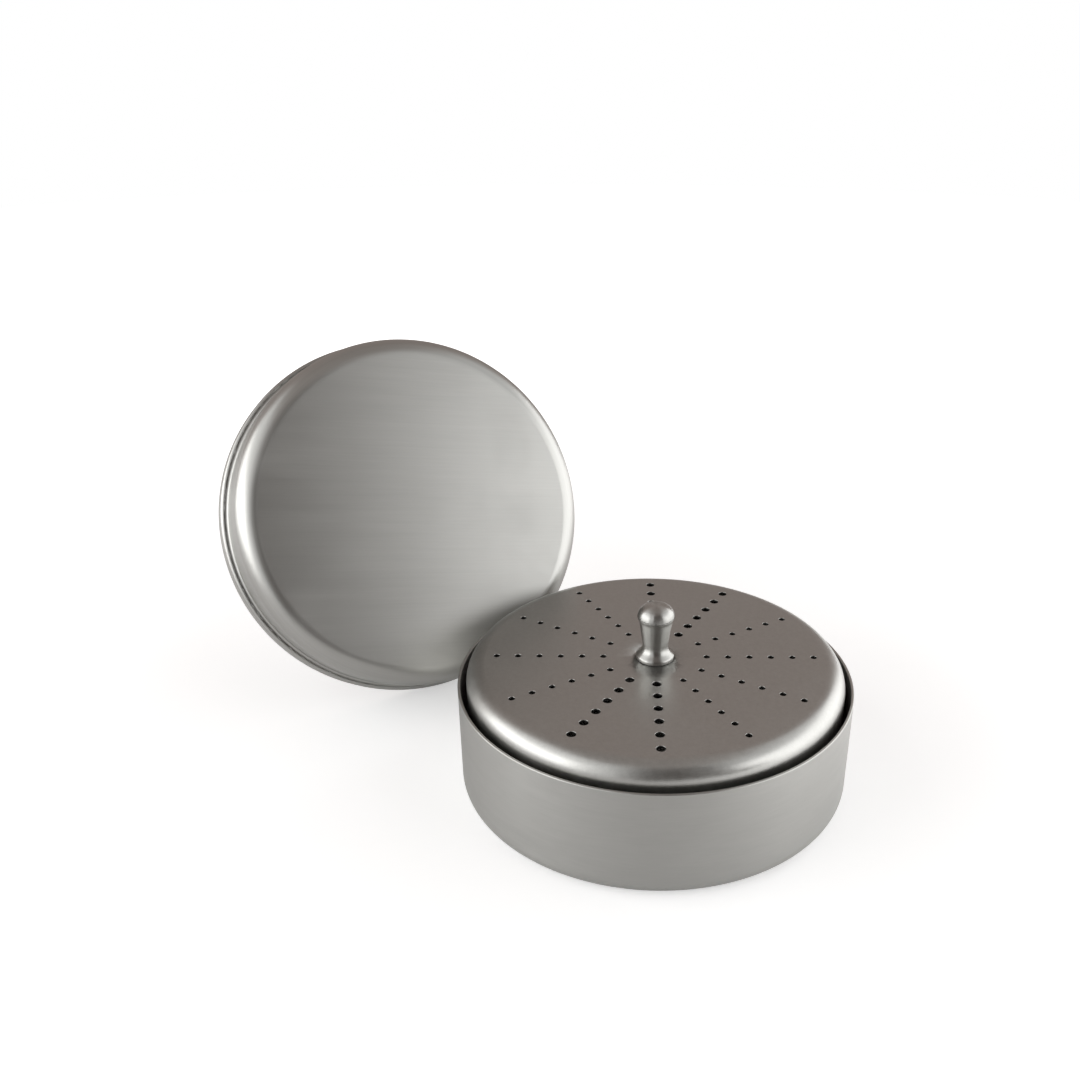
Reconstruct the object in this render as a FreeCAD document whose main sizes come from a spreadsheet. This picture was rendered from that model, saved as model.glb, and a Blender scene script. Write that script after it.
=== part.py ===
import FreeCAD, Part
import math
import os

import Sketcher

# Round holder for dental burs: a drawn base cup, a perforated rack that lifts out by its knob,
# and a stepped lid that stands beside the cup. Row frame: millimetres, +Z up, +X to the right,
# origin at the centre of the cup's underside, and the side that faces the user towards -Y.

# Driving sizes: name, value in millimetres or degrees, meaning
SIZES = [
    ("cup_diameter", 111.0, "outside of the base cup"),
    ("cup_height", 32.0, "underside to rim"),
    ("cup_corner", 4.0, "outside radius of the bottom corner"),
    ("cup_sheet", 0.8, "wall and floor"),
    ("rack_gap", 1.7, "free ring between the cup wall and the rack skirt"),
    ("rack_proud", 5.8, "top of the rack above the cup rim"),
    ("rack_corner", 5.0, "outside radius of the rack shoulder"),
    ("rack_sheet", 0.8, "drawn sheet of the rack"),
    ("seat_gap", 0.3, "clearance of the skirt's edge over the cup's inside corner"),
    ("first_ring", 14.5, "radius of the innermost ring of bur holes"),
    ("row_margin", 3.5, "outermost bur hole to the start of the shoulder"),
    ("fg_shank", 1.6, "friction grip bur shank"),
    ("ra_shank", 2.35, "latch type bur shank"),
    ("shank_clearance", 0.15, "hole diameter over shank diameter"),
    ("rest_depth", 12.0, "rack top to the plate on which the shanks stand"),
    ("rest_sheet", 1.2, "rest plate"),
    ("rest_edge", 5.0, "depth of the rest plate's turned edge"),
    ("rest_corner", 2.4, "outside radius of the turned edge"),
    ("rest_gap", 0.3, "rest plate edge to the inside of the rack skirt"),
    ("pit_depth", 0.6, "shallow seat under each bur hole"),
    ("stud_diameter", 4.0, "threaded stud"),
    ("stud_tip", 1.6, "stud below the nut"),
    ("stud_chamfer", 0.5, "lead-in at the stud's ends"),
    ("through_clearance", 0.4, "plate and spacer holes over the stud diameter"),
    ("thread_clearance", 0.1, "tapped holes over the stud diameter"),
    ("spacer_diameter", 8.0, "tube between rack and rest plate"),
    ("washer_diameter", 9.0, "washer under the rest plate"),
    ("washer_thickness", 0.8, "washer"),
    ("nut_flats", 7.0, "across the nut's flats"),
    ("nut_height", 3.2, "hexagon nut"),
    ("knob_height", 16.2, "knob above the rack"),
    ("knob_foot", 10.8, "diameter of the knob's foot"),
    ("knob_foot_side", 1.0, "upright side of the foot"),
    ("knob_neck", 6.9, "diameter of the knob's neck"),
    ("knob_neck_height", 3.4, "neck above the rack"),
    ("knob_waist", 8.7, "diameter where the neck meets the head"),
    ("knob_head", 10.4, "diameter of the knob's head"),
    ("knob_head_flare", 1.7, "start of the head to its widest ring"),
    ("knob_crown_height", 3.6, "widest ring of the head to the top"),
    ("knob_crown", 3.3, "radius that rounds the top of the head"),
    ("knob_head_bend", 1.0, "radius at the widest ring of the head"),
    ("knob_waist_bend", 3.6, "radius where the neck opens into the head"),
    ("knob_neck_bend", 2.1, "radius where the neck meets the foot"),
    ("knob_foot_bend", 0.8, "radius at the top of the foot's side"),
    ("knob_thread", 9.0, "depth of the tapped hole in the knob"),
    ("lid_sheet", 0.7, "drawn sheet of the lid"),
    ("lid_rim_height", 4.2, "expanded rim, open edge to step"),
    ("lid_rim_clearance", 0.15, "expanded rim over the cup wall, on the radius"),
    ("lid_wall_clearance", 0.4, "lid wall over the rack skirt, on the radius"),
    ("lid_headroom", 0.2, "ceiling of the closed lid over the knob"),
    ("lid_corner", 6.0, "outside radius of the lid's corner"),
    ("lid_step_outer", 1.2, "bend radius of the step at the rim"),
    ("lid_lean", 26.0, "lid leaning back from upright, degrees"),
    ("lid_turn", 28.2, "lid turned towards +X, degrees"),
    ("lid_bearing", 39.0, "way from the cup to the lid, from -X towards +Y, degrees"),
    ("lid_tuck", 5.3, "lid's mouth nearer to the cup than two circles side by side"),
    ("edge_round", 0.3, "broken edge of the sheet"),
]

# Rows of holes by the clock face seen from above: 12 points to +Y and 3 to +X
HOLES_PER_ROW = 6
ROW_ANGLE = 30.0
ROW_PAIRS = 2
LATCH_FIRST_HOUR = 12
LATCH_ROWS = 2
FRICTION_FIRST_HOUR = 2
FRICTION_ROWS = 4

doc = FreeCAD.newDocument("bur_holder")


# Sizes and formulas
class Size:
    """A number and the formula that ties it to the sheet of sizes."""

    def __init__(self, number, formula):
        self.number = float(number)
        self.formula = formula

    def join(self, other, sign, number):
        return Size(number, "(" + self.formula + " " + sign + " " + as_size(other).formula + ")")

    def __add__(self, other):
        return self.join(other, "+", self.number + as_size(other).number)

    def __sub__(self, other):
        return self.join(other, "-", self.number - as_size(other).number)

    def __mul__(self, other):
        return self.join(other, "*", self.number * as_size(other).number)

    def __truediv__(self, other):
        return self.join(other, "/", self.number / as_size(other).number)


def as_size(value):
    """A plain number as a size, or the size itself."""
    return value if isinstance(value, Size) else Size(value, repr(float(value)))


def square_root(size):
    return Size(math.sqrt(size.number), "sqrt(" + size.formula + ")")


def larger(first, second):
    first, second = as_size(first), as_size(second)
    formula = "max(" + first.formula + "; " + second.formula + ")"
    return Size(max(first.number, second.number), formula)


def smaller(first, second):
    first, second = as_size(first), as_size(second)
    formula = "min(" + first.formula + "; " + second.formula + ")"
    return Size(min(first.number, second.number), formula)


def cosine(angle):
    return Size(math.cos(math.radians(angle.number)), "cos(" + angle.formula + ")")


def sine(angle):
    return Size(math.sin(math.radians(angle.number)), "sin(" + angle.formula + ")")


def write_sheet(sizes):
    """The sheet of driving sizes, one named cell each."""
    sheet = doc.addObject("Spreadsheet::Sheet", "Sizes")
    for row, (name, value, meaning) in enumerate(sizes, start=1):
        sheet.set("A%d" % row, name)
        sheet.set("B%d" % row, str(value))
        sheet.set("C%d" % row, meaning)
        sheet.setAlias("B%d" % row, name)
    doc.recompute()
    return {name: Size(sheet.get(name), "Sizes." + name) for name, value, meaning in sizes}


S = write_sheet(SIZES)


# Sizes that follow from the driving ones, each used by two pieces or more
CUP_RADIUS = S["cup_diameter"] / 2
RACK_RADIUS = CUP_RADIUS - S["cup_sheet"] - S["rack_gap"]
RACK_TOP = S["cup_height"] + S["rack_proud"]
REST_TOP = RACK_TOP - S["rest_depth"]
REST_UNDER = REST_TOP - S["rest_sheet"]
WASHER_UNDER = REST_UNDER - S["washer_thickness"]
NUT_UNDER = WASHER_UNDER - S["nut_height"]
STUD_RADIUS = S["stud_diameter"] / 2
THROUGH_RADIUS = STUD_RADIUS + S["through_clearance"] / 2
TAPPED_RADIUS = STUD_RADIUS + S["thread_clearance"] / 2
LAST_RING = RACK_RADIUS - S["rack_corner"] - S["row_margin"]
RING_STEP = (LAST_RING - S["first_ring"]) / (HOLES_PER_ROW - 1)
FG_HOLE = S["fg_shank"] + S["shank_clearance"]
RA_HOLE = S["ra_shank"] + S["shank_clearance"]


# Sketches with rounded corners
def unit(start, end):
    """Unit vector and distance from one point to the next."""
    step = (end[0] - start[0], end[1] - start[1])
    length = math.hypot(step[0], step[1])
    return (step[0] / length, step[1] / length), length


def rounded_corner(before, corner, after, radius):
    """Where an arc of this radius leaves both sides of a corner, its centre and its turn."""
    back, _ = unit(corner, before)
    ahead, _ = unit(corner, after)
    half = math.acos(back[0] * ahead[0] + back[1] * ahead[1]) / 2
    reach = radius / math.tan(half)
    away = radius / math.sin(half)
    bisector, _ = unit((0, 0), (back[0] + ahead[0], back[1] + ahead[1]))
    first = (corner[0] + back[0] * reach, corner[1] + back[1] * reach)
    last = (corner[0] + ahead[0] * reach, corner[1] + ahead[1] * reach)
    centre = (corner[0] + bisector[0] * away, corner[1] + bisector[1] * away)
    turns_left = ahead[0] * back[1] - ahead[1] * back[0] > 0
    return first, last, centre, turns_left


def fitted_bend(corners, place, wanted, share_before=0.45, share_after=0.45):
    """The wanted radius, or less where it would take more than its share of a corner's sides."""
    here = corners[place]
    ends = [corners[place - 1], corners[place + 1]]
    sides = [(end[0] - here[0], end[1] - here[1]) for end in ends]
    lengths = [square_root(across * across + up * up) for across, up in sides]
    product = sides[0][0] * sides[1][0] + sides[0][1] * sides[1][1]
    cosine_between = product / (lengths[0] * lengths[1])
    one = as_size(1)
    reach_to_radius = square_root((one - cosine_between) / (one + cosine_between))
    return smaller(wanted, smaller(lengths[0] * share_before, lengths[1] * share_after) * reach_to_radius)


def vector(point):
    return FreeCAD.Vector(point[0], point[1], 0)


def arc(centre, radius, start, end):
    """Arc that runs anticlockwise from start to end."""
    angles = [math.atan2(p[1] - centre[1], p[0] - centre[0]) for p in (start, end)]
    if angles[1] < angles[0]:
        angles[1] += 2 * math.pi
    circle = Part.Circle(vector(centre), FreeCAD.Vector(0, 0, 1), radius)
    return Part.ArcOfCircle(circle, angles[0], angles[1])


def hold(sketch, kind, geometry, point, size):
    """Distance of a point from the sketch's origin along X or Y, tied to a size."""
    if isinstance(size, Size):
        constraint = Sketcher.Constraint(kind, -1, 1, geometry, point, size.number)
        index = sketch.addConstraint(constraint)
        sketch.setExpression("Constraints[%d]" % index, size.formula)
    else:
        axis = -2 if kind == "DistanceX" else -1
        sketch.addConstraint(Sketcher.Constraint("PointOnObject", geometry, point, axis))


def draw_outline(sketch, corners):
    """Closed outline through corners (x, y, radius): 0 is on the axis, radius None is sharp."""
    points = [(as_size(x).number, as_size(y).number) for x, y, radius in corners]
    count = len(corners)
    stops = []
    for i, (x, y, radius) in enumerate(corners):
        if radius is None:
            stops.append((points[i], points[i], None, None))
        else:
            near = (points[i - 1], points[i], points[(i + 1) % count])
            stops.append(rounded_corner(*near, radius.number))
    sides = []
    for i in range(count):
        line = Part.LineSegment(vector(stops[i][1]), vector(stops[(i + 1) % count][0]))
        sides.append(sketch.addGeometry(line, False))
    for i, (x, y, radius) in enumerate(corners):
        before, after = sides[i - 1], sides[i]
        if radius is None:
            sketch.addConstraint(Sketcher.Constraint("Coincident", before, 2, after, 1))
            hold(sketch, "DistanceX", after, 1, x)
            hold(sketch, "DistanceY", after, 1, y)
            continue
        first, last, centre, turns_left = stops[i]
        ends = (first, last) if turns_left else (last, first)
        bend = sketch.addGeometry(arc(centre, radius.number, *ends), False)
        entry, leave = (1, 2) if turns_left else (2, 1)
        sketch.addConstraint(Sketcher.Constraint("Tangent", before, 2, bend, entry))
        sketch.addConstraint(Sketcher.Constraint("Tangent", bend, leave, after, 1))
        index = sketch.addConstraint(Sketcher.Constraint("Radius", bend, radius.number))
        sketch.setExpression("Constraints[%d]" % index, radius.formula)
        corner = sketch.addGeometry(Part.Point(vector(points[i])), True)
        hold(sketch, "DistanceX", corner, 1, x)
        hold(sketch, "DistanceY", corner, 1, y)
        sketch.addConstraint(Sketcher.Constraint("PointOnObject", corner, 1, before))
        sketch.addConstraint(Sketcher.Constraint("PointOnObject", corner, 1, after))


# Bodies
def origin_part(body, role):
    return [part for part in body.Origin.OriginFeatures if part.Role == role][0]


def new_body(name):
    body = doc.addObject("PartDesign::Body", name)
    body.Label = name
    return body


def new_sketch(body, name, role):
    sketch = body.newObject("Sketcher::SketchObject", name)
    sketch.AttachmentSupport = [(origin_part(body, role), "")]
    sketch.MapMode = "FlatFace"
    return sketch


def turned_body(name, corners):
    """A round piece: a half section (radius, height) turned about the upright axis."""
    body = new_body(name)
    section = new_sketch(body, name + "_section", "XZ_Plane")
    draw_outline(section, corners)
    turn = body.newObject("PartDesign::Revolution", name + "_turn")
    turn.Profile = section
    turn.ReferenceAxis = (section, ["V_Axis"])
    turn.Angle = 360
    doc.recompute()
    return body


def cut_below(body, name, sketch, height):
    """Pocket that goes down from the sketch; None is right through."""
    before = body.Shape.Volume
    pocket = body.newObject("PartDesign::Pocket", name)
    pocket.Profile = sketch
    if height is None:
        pocket.Type = "ThroughAll"
    else:
        pocket.Type = "Length"
        pocket.setExpression("Length", height.formula)
    doc.recompute()
    if body.Shape.Volume >= before:
        raise RuntimeError(name + " cuts nothing")
    return pocket


def cut_bur_rows(body, name, top, height, diameter, first_hour, rows):
    """Straight rows of round holes, fanned out by the hour and repeated across the plate."""
    row = new_sketch(body, name + "_row", "XY_Plane")
    turn = FreeCAD.Rotation(FreeCAD.Vector(0, 0, 1), -ROW_ANGLE * first_hour)
    row.AttachmentOffset = FreeCAD.Placement(FreeCAD.Vector(0, 0, top.number), turn)
    row.setExpression("AttachmentOffset.Base.z", top.formula)
    for place in range(HOLES_PER_ROW):
        ring = S["first_ring"] + RING_STEP * place
        circle = Part.Circle(vector((0, ring.number)), FreeCAD.Vector(0, 0, 1), diameter.number / 2)
        hole = row.addGeometry(circle, False)
        hold(row, "DistanceX", hole, 3, 0)
        hold(row, "DistanceY", hole, 3, ring)
        index = row.addConstraint(Sketcher.Constraint("Diameter", hole, diameter.number))
        row.setExpression("Constraints[%d]" % index, diameter.formula)
    whole = body.Shape.Volume
    pocket = cut_below(body, name + "_cut", row, height)
    one_row = whole - body.Shape.Volume
    fan = body.newObject("PartDesign::PolarPattern", name + "_fan")
    fan.Axis = (origin_part(body, "Z_Axis"), [""])
    fan.Angle = ROW_ANGLE * (rows - 1)
    fan.Occurrences = rows
    fan.Reversed = True
    across = body.newObject("PartDesign::PolarPattern", name + "_across")
    across.Axis = (origin_part(body, "Z_Axis"), [""])
    across.Angle = 360
    across.Occurrences = ROW_PAIRS
    every = body.newObject("PartDesign::MultiTransform", name + "_rows")
    every.Originals = [pocket]
    every.Transformations = [fan, across]
    body.Tip = every
    doc.recompute()
    cut = whole - body.Shape.Volume
    if abs(cut - one_row * rows * ROW_PAIRS) > 0.01 * cut:
        raise RuntimeError(name + " has not every row")


def cut_all_bur_rows(body, name, top, height):
    """Both kinds of hole: two rows of latch holes, then four of friction grip holes, and across."""
    latch = (RA_HOLE, LATCH_FIRST_HOUR, LATCH_ROWS)
    friction = (FG_HOLE, FRICTION_FIRST_HOUR, FRICTION_ROWS)
    cut_bur_rows(body, name + "_latch", top, height, *latch)
    cut_bur_rows(body, name + "_friction", top, height, *friction)


def sheet_edge(sheet):
    """Radius that breaks the edge of a sheet without meeting the other side."""
    return smaller(S["edge_round"], sheet * 0.45)


# Base cup: flat floor, rounded corner, upright wall, plain rim
def make_base_cup():
    sheet = S["cup_sheet"]
    edge = sheet_edge(sheet)
    inside = CUP_RADIUS - sheet
    return turned_body("base_cup", [
        (0, 0, None),
        (CUP_RADIUS, 0, S["cup_corner"]),
        (CUP_RADIUS, S["cup_height"], edge),
        (inside, S["cup_height"], edge),
        (inside, sheet, S["cup_corner"] - sheet),
        (0, sheet, None),
    ])


# Rack plate: an upturned pan whose skirt is centred by the cup's inside corner
def rack_seat():
    """Height at which the skirt's outer edge clears the inside corner of the cup."""
    corner = S["cup_corner"] - S["cup_sheet"]
    overhang = larger(0, RACK_RADIUS - (CUP_RADIUS - S["cup_corner"]))
    return S["cup_sheet"] + corner - square_root(corner * corner - overhang * overhang) + S["seat_gap"]


def make_rack_plate():
    sheet = S["rack_sheet"]
    edge = sheet_edge(sheet)
    seat = rack_seat()
    inside = RACK_RADIUS - sheet
    body = turned_body("rack_plate", [
        (THROUGH_RADIUS, RACK_TOP, None),
        (THROUGH_RADIUS, RACK_TOP - sheet, None),
        (inside, RACK_TOP - sheet, S["rack_corner"] - sheet),
        (inside, seat, edge),
        (RACK_RADIUS, seat, edge),
        (RACK_RADIUS, RACK_TOP, S["rack_corner"]),
    ])
    cut_all_bur_rows(body, "bur_hole", RACK_TOP, None)
    return body


# Rest plate: hangs under the rack, with a shallow pit for the end of each shank
def make_rest_plate():
    sheet = S["rest_sheet"]
    edge = sheet_edge(sheet)
    outside = RACK_RADIUS - S["rack_sheet"] - S["rest_gap"]
    inside = outside - sheet
    bottom = REST_TOP - S["rest_edge"]
    body = turned_body("rest_plate", [
        (THROUGH_RADIUS, REST_TOP, None),
        (THROUGH_RADIUS, REST_UNDER, None),
        (inside, REST_UNDER, S["rest_corner"] - sheet),
        (inside, bottom, edge),
        (outside, bottom, edge),
        (outside, REST_TOP, S["rest_corner"]),
    ])
    cut_all_bur_rows(body, "shank_pit", REST_TOP, S["pit_depth"])
    return body


# Centre fastening: knob, stud, spacer, washer and nut clamp both plates
def ring_corners(inner, outer, low, high):
    return [(inner, low, None), (outer, low, None), (outer, high, None), (inner, high, None)]


def make_spacer_tube():
    outer = S["spacer_diameter"] / 2
    return turned_body("spacer_tube", ring_corners(THROUGH_RADIUS, outer, REST_TOP, RACK_TOP - S["rack_sheet"]))


def make_clamp_washer():
    outer = S["washer_diameter"] / 2
    return turned_body("clamp_washer", ring_corners(THROUGH_RADIUS, outer, WASHER_UNDER, REST_UNDER))


def make_clamp_stud():
    low = NUT_UNDER - S["stud_tip"]
    high = RACK_TOP + S["knob_thread"] - S["thread_clearance"]
    tip = STUD_RADIUS - S["stud_chamfer"]
    return turned_body("clamp_stud", [
        (0, low, None),
        (tip, low, None),
        (STUD_RADIUS, low + S["stud_chamfer"], None),
        (STUD_RADIUS, high - S["stud_chamfer"], None),
        (tip, high, None),
        (0, high, None),
    ])


def make_clamp_nut():
    """Hexagon cut from a round blank whose corners are bevelled at 30 degrees."""
    corner = S["nut_flats"] / math.sqrt(3)
    flat = S["nut_flats"] / 2
    bevel = (corner - flat) * math.tan(math.radians(30))
    body = turned_body("clamp_nut", [
        (TAPPED_RADIUS, NUT_UNDER, None),
        (flat, NUT_UNDER, None),
        (corner, NUT_UNDER + bevel, None),
        (corner, WASHER_UNDER - bevel, None),
        (flat, WASHER_UNDER, None),
        (TAPPED_RADIUS, WASHER_UNDER, None),
    ])
    outline = new_sketch(body, "hexagon", "XY_Plane")
    outline.AttachmentOffset = FreeCAD.Placement(FreeCAD.Vector(0, 0, WASHER_UNDER.number), FreeCAD.Rotation())
    outline.setExpression("AttachmentOffset.Base.z", WASHER_UNDER.formula)
    turns = [math.radians(60 * k) for k in range(6)]
    draw_outline(outline, [(corner * math.cos(a), corner * math.sin(a), None) for a in turns])
    blank = outline.addGeometry(Part.Circle(vector((0, 0)), FreeCAD.Vector(0, 0, 1), corner.number + 1), False)
    outline.addConstraint(Sketcher.Constraint("Coincident", blank, 3, -1, 1))
    index = outline.addConstraint(Sketcher.Constraint("Radius", blank, corner.number + 1))
    outline.setExpression("Constraints[%d]" % index, (corner + 1).formula)
    cut_below(body, "nut_sides", outline, None)
    return body


def make_knob():
    """Turned knob: bell foot, narrow neck, wider head with a round crown, tapped from below."""
    foot = S["knob_foot"] / 2
    neck = S["knob_neck"] / 2
    waist = S["knob_waist"] / 2
    head = S["knob_head"] / 2
    top = RACK_TOP + S["knob_height"]
    widest = top - S["knob_crown_height"]
    tapped = RACK_TOP + S["knob_thread"]
    corners = [
        (TAPPED_RADIUS, RACK_TOP),
        (foot, RACK_TOP),
        (foot, RACK_TOP + S["knob_foot_side"]),
        (neck, RACK_TOP + S["knob_neck_height"]),
        (waist, widest - S["knob_head_flare"]),
        (head, widest),
        (head, top),
        (as_size(0), top),
    ]
    bends = [None] * len(corners)
    bends[2] = fitted_bend(corners, 2, S["knob_foot_bend"])
    bends[3] = fitted_bend(corners, 3, S["knob_neck_bend"])
    bends[4] = fitted_bend(corners, 4, S["knob_waist_bend"])
    bends[5] = fitted_bend(corners, 5, S["knob_head_bend"], share_after=0.08)
    bends[6] = fitted_bend(corners, 6, S["knob_crown"], share_before=0.92, share_after=0.92)
    outline = [(across, up, bend) for (across, up), bend in zip(corners, bends)]
    outline[-1] = (0, top, None)
    return turned_body("knob", outline + [(0, tapped, None), (TAPPED_RADIUS, tapped, None)])


# Lid: drawn cover whose expanded rim slips over the cup wall and stops on the step
LID_RIM_RADIUS = CUP_RADIUS + S["lid_rim_clearance"] + S["lid_sheet"]
LID_WALL_RADIUS = RACK_RADIUS + S["lid_wall_clearance"] + S["lid_sheet"]


def lid_depth():
    """Open edge to face, so that the closed lid clears the knob."""
    seat = S["lid_rim_height"] - S["lid_sheet"]
    inside = seat + S["rack_proud"] + S["knob_height"] + S["lid_headroom"]
    return inside + S["lid_sheet"]


def lean_lid(lid):
    """Stands the lid on the floor beside the cup, leaning back, its face towards the user."""
    away = CUP_RADIUS + LID_RIM_RADIUS - S["lid_tuck"]
    left = away * cosine(S["lid_bearing"])
    back = away * sine(S["lid_bearing"])
    lift = LID_RIM_RADIUS * cosine(S["lid_lean"])
    places = "; ".join(["0 - " + left.formula, back.formula, lift.formula])
    stand = "placement(vector(" + places + "); rotation(vector(0; 0; 1); Sizes.lid_turn))"
    lean = "placement(vector(0; 0; 0); rotation(vector(1; 0; 0); 90 - Sizes.lid_lean))"
    lid.setExpression("Placement", stand + " * " + lean)
    doc.recompute()


def make_lid_shell():
    sheet = S["lid_sheet"]
    edge = sheet_edge(sheet)
    step = S["lid_rim_height"]
    depth = lid_depth()
    rim_inside = LID_RIM_RADIUS - sheet
    wall_inside = LID_WALL_RADIUS - sheet
    outer_bend = smaller(S["lid_step_outer"], (LID_RIM_RADIUS - LID_WALL_RADIUS) * 0.55)
    inner_bend = (LID_RIM_RADIUS - LID_WALL_RADIUS) * 0.98 - outer_bend
    lid = turned_body("lid_shell", [
        (0, depth, None),
        (0, depth - sheet, None),
        (wall_inside, depth - sheet, S["lid_corner"] - sheet),
        (wall_inside, step - sheet, inner_bend + sheet),
        (rim_inside, step - sheet, outer_bend - sheet),
        (rim_inside, 0, edge),
        (LID_RIM_RADIUS, 0, edge),
        (LID_RIM_RADIUS, step, outer_bend),
        (LID_WALL_RADIUS, step, inner_bend),
        (LID_WALL_RADIUS, depth, S["lid_corner"]),
    ])
    lean_lid(lid)
    return lid


# Checks and export
def check_document():
    for item in doc.Objects:
        if "Invalid" in item.State or "Error" in item.State:
            raise RuntimeError(item.Label + " did not build")


def export_node(piece):
    shape = piece.Shape
    if shape.isNull() or not shape.isValid() or len(shape.Solids) != 1:
        raise RuntimeError(piece.Label + " is not one valid solid")
    shape.exportStep("parts/" + piece.Label + ".step")


def main():
    os.makedirs("parts", exist_ok=True)
    makers = [
        make_base_cup, make_rack_plate, make_rest_plate, make_spacer_tube, make_clamp_stud,
        make_clamp_washer, make_clamp_nut, make_knob, make_lid_shell,
    ]
    pieces = [make() for make in makers]
    doc.recompute()
    check_document()
    for piece in pieces:
        export_node(piece)


main()
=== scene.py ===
"""Round holder for dental burs: a drawn steel cup, the perforated rack that lifts out of it by
its knob, and the stepped lid that stands beside it. Metres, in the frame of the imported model."""
import logging
import math
from dataclasses import dataclass, field
from enum import Enum
from typing import Any

import bpy
from mathutils import Matrix, Vector


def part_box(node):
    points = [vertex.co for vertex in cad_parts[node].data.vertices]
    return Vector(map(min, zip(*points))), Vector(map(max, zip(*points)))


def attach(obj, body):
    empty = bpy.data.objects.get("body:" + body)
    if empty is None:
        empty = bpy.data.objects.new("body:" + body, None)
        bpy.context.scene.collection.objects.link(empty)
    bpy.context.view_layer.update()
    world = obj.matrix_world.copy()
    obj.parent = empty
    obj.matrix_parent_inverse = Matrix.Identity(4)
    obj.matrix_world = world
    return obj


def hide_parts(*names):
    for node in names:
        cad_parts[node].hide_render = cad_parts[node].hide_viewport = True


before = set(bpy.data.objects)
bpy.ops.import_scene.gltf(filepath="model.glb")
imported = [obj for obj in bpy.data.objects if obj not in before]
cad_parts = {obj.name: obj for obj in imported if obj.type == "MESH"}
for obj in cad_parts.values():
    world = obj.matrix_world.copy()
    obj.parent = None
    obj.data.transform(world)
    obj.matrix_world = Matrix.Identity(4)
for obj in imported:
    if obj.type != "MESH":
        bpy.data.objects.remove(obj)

log = logging.getLogger("bur_holder")

MM = 0.001
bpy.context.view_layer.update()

Point = tuple[float, float]
Colour = tuple[float, float, float]


# Node trees
class NodeBench:
    """Adds nodes to one tree and joins them."""

    def __init__(self, tree: bpy.types.NodeTree) -> None:
        """Keeps the tree that is worked on."""
        self.tree = tree

    def add(
        self, kind: str, inputs: dict[Any, Any] | None = None, **settings: Any
    ) -> bpy.types.Node:
        """Adds a node, sets its properties and fills its inputs.

        Args:
            kind: the node's type.
            inputs: for each input, by name or place, an output socket or a plain value.
            settings: the node's own properties.

        Returns:
            The new node.
        """
        node = self.tree.nodes.new(kind)
        for name, value in settings.items():
            setattr(node, name, value)
        for key, value in (inputs or {}).items():
            self.fill(node.inputs[key], value)
        return node

    def take(
        self, kind: str, inputs: dict[Any, Any] | None = None, **settings: Any
    ) -> bpy.types.NodeSocket:
        """Adds a node as add does, and gives its first output."""
        return self.add(kind, inputs, **settings).outputs[0]

    def fill(self, socket: bpy.types.NodeSocket, value: Any) -> None:
        """Joins an output to an input, or sets the input to a plain value.

        Args:
            socket: the input.
            value: an output socket or a plain value.
        """
        if isinstance(value, bpy.types.NodeSocket):
            self.tree.links.new(value, socket)
        else:
            socket.default_value = value

    def compute(self, operation: str, *values: Any, clamp: bool = False) -> bpy.types.NodeSocket:
        """One step of arithmetic.

        Args:
            operation: the Math node's operation.
            values: its operands, sockets or numbers.
            clamp: keep the result between 0 and 1.

        Returns:
            The result's socket.
        """
        operands = dict(enumerate(values))
        return self.take("ShaderNodeMath", operands, operation=operation, use_clamp=clamp)

    def scaled(self, vector: Any, x: Any, y: Any, z: Any) -> bpy.types.NodeSocket:
        """A vector multiplied by three numbers or sockets."""
        factor = self.take("ShaderNodeCombineXYZ", {0: x, 1: y, 2: z})
        return self.take("ShaderNodeVectorMath", {0: vector, 1: factor}, operation="MULTIPLY")

    def mix_colour(self, factor: Any, first: Any, second: Any) -> bpy.types.NodeSocket:
        """A colour between two others."""
        inputs = {0: factor, 6: first, 7: second}
        return self.add("ShaderNodeMix", inputs, data_type="RGBA").outputs[2]

    def circle(self, sides: Any, radius: Any) -> bpy.types.NodeSocket:
        """A flat circle as a curve."""
        size = {"Resolution": sides, "Radius": radius}
        return self.take("GeometryNodeCurvePrimitiveCircle", size)

    def shape_of(self, given: Any) -> bpy.types.NodeSocket:
        """The geometry of an object."""
        return self.add("GeometryNodeObjectInfo", {"Object": given}).outputs["Geometry"]

    def copies(self, shape: Any, points: Any) -> bpy.types.NodeSocket:
        """A shape on each point, made real."""
        placed = self.take("GeometryNodeInstanceOnPoints", {"Points": points, "Instance": shape})
        return self.take("GeometryNodeRealizeInstances", {0: placed})

    def raised(self, shape: Any, height: Any) -> bpy.types.NodeSocket:
        """A shape moved up by a height."""
        lift = self.take("ShaderNodeCombineXYZ", {2: height})
        return self.take("GeometryNodeTransform", {"Geometry": shape, "Translation": lift})


def new_group(
    name: str, kind: str, inputs: list[tuple[str, str, Any]], outputs: list[tuple[str, str]]
) -> tuple[NodeBench, dict[str, bpy.types.NodeSocket], bpy.types.Node]:
    """Starts a node group with named inputs and outputs.

    Args:
        name: the group's name.
        kind: ShaderNodeTree or GeometryNodeTree.
        inputs: label, socket type and default (None for none) of each input.
        outputs: label and socket type of each output.

    Returns:
        The bench, the input sockets by label, and the output node.
    """
    tree = bpy.data.node_groups.new(name, kind)
    for label, socket_type, default in inputs:
        socket = tree.interface.new_socket(label, in_out="INPUT", socket_type=socket_type)
        if default is not None:
            socket.default_value = default
    for label, socket_type in outputs:
        tree.interface.new_socket(label, in_out="OUTPUT", socket_type=socket_type)
    bench = NodeBench(tree)
    given = bench.add("NodeGroupInput")
    sockets = {socket.name: socket for socket in given.outputs if socket.name}
    return bench, sockets, bench.add("NodeGroupOutput")


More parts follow.
